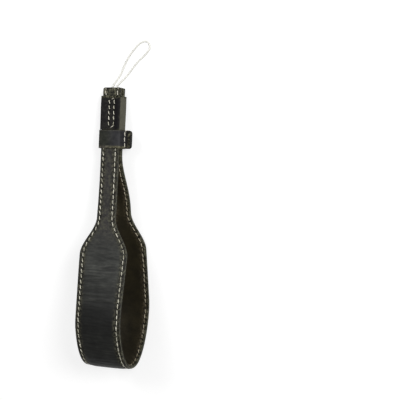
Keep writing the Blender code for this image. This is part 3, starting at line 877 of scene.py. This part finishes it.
def make_keeper():
    """Loose leather keeper with its stitched tab."""
    start, end = KEEPER_START, KEEPER_START + KEEPER_LENGTH
    keeper = drawn_bar("keeper_loop", keeper_outline(), start, end)
    table = coordinates(keeper)
    along, side, up = table.T
    tip = KEEPER_ROOT + TAB_REACH
    line = KEEPER_ROOT + TAB_STITCH_INSET
    middle = (start + end) / 2
    corner = np.clip(1 - (tip - side) / TAB_ROUND, 0, 1)
    cut = TAB_ROUND * (1 - np.sqrt(1 - corner ** 2))
    along[:] = middle + (along - middle) * (1 - cut / (KEEPER_LENGTH / 2))
    share = (along - middle) / (KEEPER_LENGTH / 2)
    outer = ease((np.abs(up) - LEGS_HALF - KEEPER_SLACK - 0.3 * MM) / (0.3 * MM))
    up += np.sign(up) * KEEPER_BOW * outer * (1 - share ** 2) * bell(side, KEEPER_BOW_REACH)
    on_tab = (np.abs(up) > PIECE_GAP / 2 + KEEPER_WALL / 2) * (side > KEEPER_ROOT - 0.2 * MM)
    from_groove = side - line - TAB_GROOVE_SHIFT
    up -= np.sign(up) * on_tab * TAB_GROOVE * bell(from_groove, TAB_GROOVE_REACH)
    lower_rim = 1 - ease((end - along - 1.3 * MM) / (0.9 * MM))
    left = LEG_WIDTH / 2 + KEEPER_SLACK + KEEPER_WALL
    tip_shade = 1 - ease((tip - side - 0.2 * MM) / (0.7 * MM))
    mark(keeper,
         rim=lower_rim + THIN_END_SHARE * bell(along - start, THIN_END_WEAR),
         tab=ease((side - line - 1.7 * MM) / (0.5 * MM)),
         # groove: painted shade in the groove beside the tab
         groove=bell(from_groove, TAB_SHADE_REACH),
         # outline: painted shade along the keeper's left side and round its tab's tip
         outline=np.maximum(bell(side + left, SIDE_SHADE_REACH), tip_shade),
         # right: lighter and bluer towards the right, partly a tone of the leather and partly painted light
         # on the slope down to the tab
         right=ease((side + 4 * MM) / (10 * MM)))
    set_coordinates(keeper, table)
    soften_edges(keeper, 0.22 * MM)
    apply_modifiers(keeper)
    keeper.data.transform(HEAD_FRAME)
    finished(keeper, keeper_leather(), "keeper", "sleeve_leather", "keeper")


def make_tab_seam(thread):
    """Stitches that close the keeper at the root of its tab, on both sides, and hook over its edge."""
    start, end = KEEPER_START, KEEPER_START + KEEPER_LENGTH
    line = KEEPER_ROOT + TAB_STITCH_INSET
    height = PIECE_GAP / 2 + KEEPER_WALL + TAB_SEAM_SINK
    turn, stretch = TAB_STITCH
    hook_along, hook_across, hook_turn, hook_stretch = TAB_HOOK
    places, hooks = [], []
    for side in (1, -1):
        places += [stitch_place((first + last) / 2, line, side * height, math.radians(turn), stretch)
                   for first, last in stitch_run(start, end)]
        hooks.append(stitch_place(start + hook_along, line + hook_across, side * (height - OVER_EDGE),
                                  math.radians(hook_turn), hook_stretch))
    over_edge = Matrix.Translation((start - OVER_EDGE, line + TAB_GROOVE_SHIFT, 0))
    places.append(over_edge @ Matrix.Rotation(-math.pi / 2, 4, "Y"))
    head_seam("seam_tab", places, hooks, TAB_HOOK_BOW, 41, 0.15, thread, "keeper")


# Cord

def smooth_curve(points):
    """Even points along a Catmull-Rom curve through a short list."""
    ends = [points[0] * 2 - points[1]] + points + [points[-1] * 2 - points[-2]]
    fine = []
    for a, b, c, d in zip(ends[:-3], ends[1:-2], ends[2:-1], ends[3:]):
        for t in np.linspace(0, 1, 24, endpoint=False):
            fine.append(0.5 * ((2 * b) + (c - a) * t + (2 * a - 5 * b + 4 * c - d) * t ** 2
                               + (3 * b - 3 * c + d - a) * t ** 3))
    fine.append(points[-1])
    lengths = np.concatenate([[0], np.cumsum([(q - p).length for p, q in zip(fine[:-1], fine[1:])])])
    table = np.array([tuple(p) for p in fine])
    places = np.linspace(0, lengths[-1], round(lengths[-1] / CORD_STEP * 2) + 1)
    table[:, 2] = np.maximum(table[:, 2], CORD_DIAMETER / 2)
    return np.column_stack([np.interp(places, lengths, table[:, k]) for k in range(3)]), float(lengths[-1])


def cord_route():
    """Both strands leave between the strap ends, drop to the table and meet in a loose loop."""
    strand, floor = CORD_STRAND_SPACING / 2, CORD_DIAMETER / 2
    lying = [(4.6, 9.0, 0.35), (8.6, 17.5, 0.0), (14.5, 25.5, 0.0), (21.5, 32.0, 0.0), (27.5, 33.5, 0.0),
             (29.5, 28.8, 0.0), (25.6, 24.0, 0.0), (19.0, 18.6, 0.0), (12.8, 12.0, 0.0), (8.3, 6.6, 0.45)]
    end_y = HEAD_END_Y + BACK_SHIFT
    table = [Vector((x * MM, end_y + y * MM, floor + z * (HEAD_ORIGIN.z - floor))) for x, y, z in lying]
    depths = (0, CORD_DEPTH / 2, CORD_DEPTH)
    leaving = [head_point(depth, -strand) for depth in reversed(depths)]
    return leaving + table + [head_point(depth, strand) for depth in depths]


def make_cord():
    """Thin braided cord loop that the strap hangs by."""
    points, length = smooth_curve(cord_route())
    cord = poly_curve("tether_loop", points)
    cord.data.bevel_depth = CORD_DIAMETER / 2
    cord.data.bevel_resolution = 3
    cord.data.use_fill_caps = True
    cord.data.materials.append(braided_cord())
    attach(cord, "root")
    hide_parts("tether_cord")


# Materials

def new_material(name, roughness, specular):
    material = bpy.data.materials.new(name)
    material.use_nodes = True
    shader = material.node_tree.nodes["Principled BSDF"]
    shader.inputs["Roughness"].default_value = roughness
    shader.inputs["Specular IOR Level"].default_value = specular
    return material, material.node_tree, shader


def object_coordinates(tree, stretch=(1.0, 1.0, 1.0)):
    place = tree.nodes.new("ShaderNodeTexCoord")
    scale = tree.nodes.new("ShaderNodeMapping")
    scale.inputs["Scale"].default_value = stretch
    tree.links.new(place.outputs["Object"], scale.inputs["Vector"])
    return scale.outputs["Vector"]


def noise(tree, scale, detail, roughness=0.55, stretch=(1.0, 1.0, 1.0), distortion=0.0):
    made = tree.nodes.new("ShaderNodeTexNoise")
    made.inputs["Scale"].default_value = scale
    made.inputs["Detail"].default_value = detail
    made.inputs["Roughness"].default_value = roughness
    made.inputs["Distortion"].default_value = distortion
    tree.links.new(object_coordinates(tree, stretch), made.inputs["Vector"])
    return made.outputs["Fac"]


def cells(tree, scale):
    made = tree.nodes.new("ShaderNodeTexVoronoi")
    made.inputs["Scale"].default_value = scale
    tree.links.new(object_coordinates(tree), made.inputs["Vector"])
    return made.outputs["Distance"]


def ramp(tree, factor, *stops):
    """Colours by place along a factor. Each stop is (place, colour)."""
    made = tree.nodes.new("ShaderNodeValToRGB")
    elements = made.color_ramp.elements
    while len(elements) < len(stops):
        elements.new(1.0)
    for element, (place, colour) in zip(elements, stops):
        element.position = place
        element.color = (*colour, 1.0)
    tree.links.new(factor, made.inputs["Fac"])
    return made.outputs["Color"]


def level(tree, factor, low, high, to_low=0.0, to_high=1.0):
    """Map a range of a factor onto another."""
    made = tree.nodes.new("ShaderNodeMapRange")
    for name, value in (("From Min", low), ("From Max", high), ("To Min", to_low), ("To Max", to_high)):
        made.inputs[name].default_value = value
    tree.links.new(factor, made.inputs["Value"])
    return made.outputs["Result"]


def mixed(tree, factor, first, second):
    """Two colours mixed by a factor. The second may be a plain colour."""
    made = tree.nodes.new("ShaderNodeMix")
    made.data_type = "RGBA"
    sockets = [s for s in made.inputs if s.type == "RGBA"]
    for socket, colour in zip(sockets, (first, second)):
        if isinstance(colour, tuple):
            socket.default_value = (*colour, 1.0)
        else:
            tree.links.new(colour, socket)
    tree.links.new(factor, made.inputs[0])
    return next(s for s in made.outputs if s.type == "RGBA")


def arithmetic(tree, operation, first, second):
    made = tree.nodes.new("ShaderNodeMath")
    made.operation = operation
    for socket, value in zip(made.inputs, (first, second)):
        if isinstance(value, (int, float)):
            socket.default_value = value
        else:
            tree.links.new(value, socket)
    return made.outputs["Value"]


def kept(tree, name):
    """A number kept on the vertices by mark()."""
    made = tree.nodes.new("ShaderNodeAttribute")
    made.attribute_name = name
    return made.outputs["Fac"]


def bump(tree, shader, height, depth, strength, under=None):
    made = tree.nodes.new("ShaderNodeBump")
    made.inputs["Distance"].default_value = depth
    made.inputs["Strength"].default_value = strength
    tree.links.new(height, made.inputs["Height"])
    if under is not None:
        tree.links.new(under, made.inputs["Normal"])
    tree.links.new(made.outputs["Normal"], shader.inputs["Normal"])
    return made.outputs["Normal"]


def scaled(tree, colour, factor):
    """A colour made lighter or darker by a factor."""
    made = tree.nodes.new("ShaderNodeVectorMath")
    made.operation = "SCALE"
    tree.links.new(colour, made.inputs[0])
    tree.links.new(factor, made.inputs["Scale"])
    return made.outputs["Vector"]


def streaks(tree, pitch):
    """Fine lines across the strap, as drawn leather has, at about a given pitch."""
    return noise(tree, 1.0 / pitch, 3.0, 0.6, (0.12, 1.0, 1.0), 0.3)


def speckled(tree, name, scale, low, high, weakest, strongest):
    """A kept number broken up into speckles."""
    return arithmetic(tree, "MULTIPLY", kept(tree, name),
                      level(tree, noise(tree, scale, 3.0, 0.6), low, high, weakest, strongest))


def weakened(tree, name, most):
    """A kept number, brought down to a share of its strength."""
    return level(tree, kept(tree, name), 0.0, 1.0, 0.0, most)


def paint(tree, shader, colour, *layers):
    """Give the shader a colour with layers over it. Each layer is (how much it covers, colour)."""
    for cover, coat in layers:
        colour = mixed(tree, cover, colour, coat)
    tree.links.new(colour, shader.inputs["Base Color"])


def leather_grain(tree, shader, grain=1.0, lines=1.0):
    """Fine pebbled grain with faint lines across the strap."""
    first = bump(tree, shader, cells(tree, 1500), 0.06 * MM, 0.7 * grain)
    second = bump(tree, shader, streaks(tree, 1.0 * MM), 0.16 * MM, 0.8 * lines, first)
    return bump(tree, shader, noise(tree, 600, 4.0, 0.65), 0.12 * MM, 0.5 * grain, second)


def fibres(tree, scale, shade=1.0):
    """Mottled olive fibres of leather that is cut or rubbed through."""
    tones = ((0.40, (0.004, 0.004, 0.002)), (0.48, (0.026, 0.025, 0.014)), (0.55, (0.070, 0.067, 0.040)),
             (0.64, (0.160, 0.154, 0.106)))
    shaded = [(place, tuple(shade * part for part in tone)) for place, tone in tones]
    return ramp(tree, noise(tree, scale, 2.5, 0.6), *shaded)


CUT_EDGE = (0.092, 0.088, 0.064)
HOLE_SHADE_BLACK = (0.002, 0.002, 0.002)
EDGE_SHADE_BLACK = (0.005, 0.005, 0.004)
CREASE_SHADE_BLACK = (0.009, 0.009, 0.009)


def black_leather():
    """Worn charcoal leather: fine lines on the band, mottled legs, olive fibres round its seams, painted
    highlight and painted shade along the band, and painted shade along one edge, in creases and in needle
    holes.
    """
    material, tree, shader = new_material("worn_black_leather", 0.56, 0.22)
    patches = noise(tree, 130, 5.0, 0.6)
    band = ramp(tree, patches, (0.30, (0.0185, 0.0192, 0.0175)), (0.55, (0.027, 0.028, 0.025)),
                (0.80, (0.038, 0.039, 0.034)))
    band = scaled(tree, band, level(tree, streaks(tree, 1.3 * MM), 0.32, 0.68, 0.62, 1.45))
    legs = ramp(tree, noise(tree, 360, 4.0, 0.65), (0.35, (0.011, 0.0100, 0.0102)),
                (0.51, (0.029, 0.0270, 0.0250)), (0.66, (0.054, 0.053, 0.037)))
    # The tone mark scales the colour by painted highlight and painted shade along the band
    colour = scaled(tree, mixed(tree, kept(tree, "leg"), band, legs), kept(tree, "tone"))
    paint(tree, shader, colour,
          (level(tree, kept(tree, "seam"), 0.1, 0.8, 0.0, 0.85), fibres(tree, 620, 0.6)),
          (weakened(tree, "rim", 0.9), fibres(tree, 480, 0.55)),
          (kept(tree, "edge"), CUT_EDGE),
          (weakened(tree, "edge", 0.6), fibres(tree, 420, 1.1)),
          # painted shade along the face's left edge
          (weakened(tree, "outline", 0.9), EDGE_SHADE_BLACK),
          (kept(tree, "raw"), fibres(tree, 480, 0.85)),
          # painted shade in the creases
          (level(tree, kept(tree, "fold"), 0.15, 0.9, 0.0, 0.5), CREASE_SHADE_BLACK),
          # painted shade in the needle holes
          (kept(tree, "hole"), HOLE_SHADE_BLACK))
    tree.links.new(level(tree, patches, 0.3, 0.75, 0.64, 0.50), shader.inputs["Roughness"])
    leather_grain(tree, shader)
    return material


def brown_lining():
    """Smooth dark brown lining leather, a little shiny where it is worn."""
    material, tree, shader = new_material("brown_lining_leather", 0.6, 0.15)
    patches = noise(tree, 90, 4.0, 0.6)
    colour = ramp(tree, patches, (0.30, (0.0085, 0.0068, 0.0032)), (0.70, (0.021, 0.0170, 0.0080)))
    paint(tree, shader, colour,
          (speckled(tree, "seam", 700, 0.42, 0.60, 0.0, 0.8), (0.075, 0.060, 0.036)),
          (weakened(tree, "rim", 0.9), fibres(tree, 480, 1.1)),
          (kept(tree, "edge"), CUT_EDGE),
          (weakened(tree, "edge", 0.7), fibres(tree, 420, 0.9)),
          # painted shade along the lining's right edge
          (weakened(tree, "outline", 0.5), EDGE_SHADE_BLACK),
          (kept(tree, "raw"), fibres(tree, 480, 0.85)),
          # painted shade in the needle holes
          (kept(tree, "hole"), HOLE_SHADE_BLACK))
    tree.links.new(level(tree, patches, 0.3, 0.7, 0.66, 0.5), shader.inputs["Roughness"])
    leather_grain(tree, shader, 0.6, 0.5)
    return material


def wrap_leather():
    """Smooth near-black leather of the sleeve, olive on its rims, with a painted highlight on its right side
    and painted shade along its left side and in its needle holes.
    """
    material, tree, shader = new_material("smooth_black_leather", 0.58, 0.08)
    patches = noise(tree, 160, 4.0, 0.6)
    colour = ramp(tree, patches, (0.3, (0.0068, 0.0066, 0.0066)), (0.7, (0.0125, 0.0122, 0.0120)))
    paint(tree, shader, colour,
          (level(tree, noise(tree, 450, 3.0), 0.46, 0.64, 0.0, 0.75), (0.025, 0.0235, 0.020)),
          # a darker stripe down the sleeve, right of its middle
          (kept(tree, "dull"), (0.0045, 0.004, 0.005)),
          (speckled(tree, "seam", 1300, 0.42, 0.60, 0.0, 0.5), (0.022, 0.022, 0.013)),
          # painted highlight on the sleeve's right side
          (speckled(tree, "side", 300, 0.30, 0.70, 0.75, 1.0), (0.100, 0.096, 0.070)),
          (kept(tree, "rim"), fibres(tree, 600, 0.9)),
          # painted shade along the sleeve's left side
          (weakened(tree, "outline", 0.8), EDGE_SHADE_BLACK),
          # painted shade in the needle holes
          (kept(tree, "hole"), HOLE_SHADE_BLACK))
    leather_grain(tree, shader, 0.8, 0.8)
    return material


def keeper_leather():
    """Charcoal keeper leather, rubbed along its lower edge and fibrous on its tab. Towards its right it is
    lighter, partly by painted light; painted shade lies in the groove by its tab and along its left side.
    """
    material, tree, shader = new_material("charcoal_keeper_leather", 0.56, 0.15)
    patches = noise(tree, 320, 4.0, 0.6)
    left = ramp(tree, patches, (0.36, (0.0090, 0.0100, 0.0070)), (0.64, (0.026, 0.027, 0.0200)))
    right = ramp(tree, patches, (0.36, (0.0150, 0.0150, 0.0165)), (0.64, (0.029, 0.029, 0.0310)))
    worn = mixed(tree, kept(tree, "right"), (0.062, 0.054, 0.048), (0.100, 0.092, 0.058))
    worn = mixed(tree, noise(tree, 400, 2.0), worn, fibres(tree, 520))
    # lighter towards the right: partly the leather's tone, partly painted light on the slope to the tab
    paint(tree, shader, mixed(tree, kept(tree, "right"), left, right),
          (kept(tree, "rim"), worn),
          (kept(tree, "tab"), fibres(tree, 480, 0.8)),
          # painted shade along the keeper's left side and round its tab's tip
          (weakened(tree, "outline", 0.8), EDGE_SHADE_BLACK),
          # painted shade in the groove beside the tab
          (kept(tree, "groove"), (0.004, 0.003, 0.002)))
    leather_grain(tree, shader, 0.8, 0.4)
    return material


def sewing_thread(name, clean, dirty, shade):
    """Waxed thread, soiled more on some stitches than on others, and darkest where it is painted in shade."""
    material, tree, shader = new_material(name, 0.6, 0.3)
    patches = level(tree, noise(tree, 900, 3.0), 0.35, 0.65, -0.25, 0.25)
    grime_and_shade = arithmetic(tree, "ADD", kept(tree, "soil"), patches)
    # the darkest stop is painted shade
    paint(tree, shader, ramp(tree, grime_and_shade, (0.05, clean), (0.5, dirty), (0.95, shade)))
    bump(tree, shader, noise(tree, 5200, 2.0), 0.04 * MM, 0.6)
    return material


def waxed_thread():
    return sewing_thread("off_white_thread", (0.74, 0.71, 0.60), (0.42, 0.40, 0.31), (0.17, 0.162, 0.115))


def tan_thread():
    return sewing_thread("dull_tan_thread", (0.54, 0.48, 0.36), (0.22, 0.186, 0.12), (0.030, 0.026, 0.016))


def braided_cord():
    """Off-white braided cord, with its strands crossing both ways."""
    material, tree, shader = new_material("off_white_braid", 0.65, 0.3)
    tone = ramp(tree, noise(tree, 700, 3.0), (0.3, (0.72, 0.71, 0.66)), (0.7, (0.84, 0.83, 0.78)))
    paint(tree, shader, tone)
    bump(tree, shader, cells(tree, 2600), 0.10 * MM, 0.6)
    return material


# Studio

FLOOR_WHITE = 0.55
FLOOR_LIFT = 0.60
FLOOR_SIZE = 6.0
FLOOR_DROP = 0.2 * MM
WORLD_LIGHT = 0.24

LAMP_AIM = Vector((0.0, 0.0, 0.02))

# Name, place, size and power of each lamp
LAMPS = (("right_softbox", (0.62, 0.30, 0.62), 0.35, 6.0), ("head_softbox", (-0.30, 0.55, 0.75), 0.5, 4.0))

# Camera: its aim, and the directions to its right, its top and its back
CAMERA_LENS = 100.0
CAMERA_DISTANCE = 798.4 * MM
CAMERA_AIM = Vector((0.0727, 0.02427, 0.020))
CAMERA_RIGHT = Vector((0.91796, -0.04262, -0.39437))
CAMERA_UP = Vector((-0.03593, 0.98119, -0.18967))
CAMERA_BACK = Vector((0.39503, 0.18828, 0.89916))


def seen_rays(tree):
    """1 for rays of the camera, reflections and glass, 0 for those that light the object."""
    path = tree.nodes.new("ShaderNodeLightPath")
    seen = arithmetic(tree, "MAXIMUM", path.outputs["Is Camera Ray"], path.outputs["Is Glossy Ray"])
    return arithmetic(tree, "MAXIMUM", seen, path.outputs["Is Transmission Ray"])


def white_floor():
    """Pale floor that keeps the object's shadow and shows white to the camera and in reflections."""
    material, tree, shader = new_material("white_floor", 0.9, 0.0)
    shader.inputs["Base Color"].default_value = (FLOOR_WHITE, FLOOR_WHITE, FLOOR_WHITE, 1.0)
    shader.inputs["Emission Color"].default_value = (1.0, 1.0, 1.0, 1.0)
    lift = arithmetic(tree, "MULTIPLY", seen_rays(tree), FLOOR_LIFT)
    tree.links.new(lift, shader.inputs["Emission Strength"])
    return material


def make_studio():
    deselect()
    bpy.ops.mesh.primitive_plane_add(size=FLOOR_SIZE, location=(0, 0, -FLOOR_DROP))
    floor = bpy.context.object
    floor.name = "studio_floor"
    floor.data.materials.append(white_floor())
    world = bpy.data.worlds.new("studio_world")
    world.use_nodes = True
    backdrop = world.node_tree.nodes["Background"]
    backdrop.inputs["Color"].default_value = (1.0, 1.0, 1.0, 1.0)
    camera_rays = world.node_tree.nodes.new("ShaderNodeLightPath").outputs["Is Camera Ray"]
    world.node_tree.links.new(level(world.node_tree, camera_rays, 0.0, 1.0, WORLD_LIGHT, 1.0),
                              backdrop.inputs["Strength"])
    bpy.context.scene.world = world
    for name, place, size, power in LAMPS:
        lamp = bpy.data.lights.new(name, "AREA")
        lamp.size = size
        lamp.energy = power
        thing = placed(name, lamp)
        thing.location = place
        thing.rotation_euler = (LAMP_AIM - Vector(place)).to_track_quat("-Z", "Y").to_euler()


def make_camera():
    """Camera at the photograph's own angle, slightly rolled."""
    camera = placed("photo_camera", bpy.data.cameras.new("photo_camera"))
    camera.data.lens = CAMERA_LENS
    camera.data.sensor_width = 36
    camera.data.clip_start = 0.05
    place = CAMERA_AIM + CAMERA_BACK * CAMERA_DISTANCE
    camera.matrix_world = frame_of(CAMERA_RIGHT, CAMERA_UP, CAMERA_BACK, place)
    bpy.context.scene.camera = camera


def main():
    make_camera()
    make_cord()
    thread = waxed_thread()
    make_ply("strap_face", PLY_PARTING, FACE_HEIGHT, DOME_RISE, 3, FACE_CREASE, black_leather(),
             "strap_leather", "strap_outer")
    make_ply("strap_inside", -PLY_PARTING, LINING_HEIGHT, LINING_RISE, 8, LINING_CREASE, brown_lining(),
             "lining_leather", "strap_lining")
    make_edge_seams(thread, tan_thread())
    make_sleeve()
    make_box_seam(thread)
    make_keeper()
    make_tab_seam(thread)
    make_studio()
    bpy.context.scene.view_settings.view_transform = "Standard"


main()
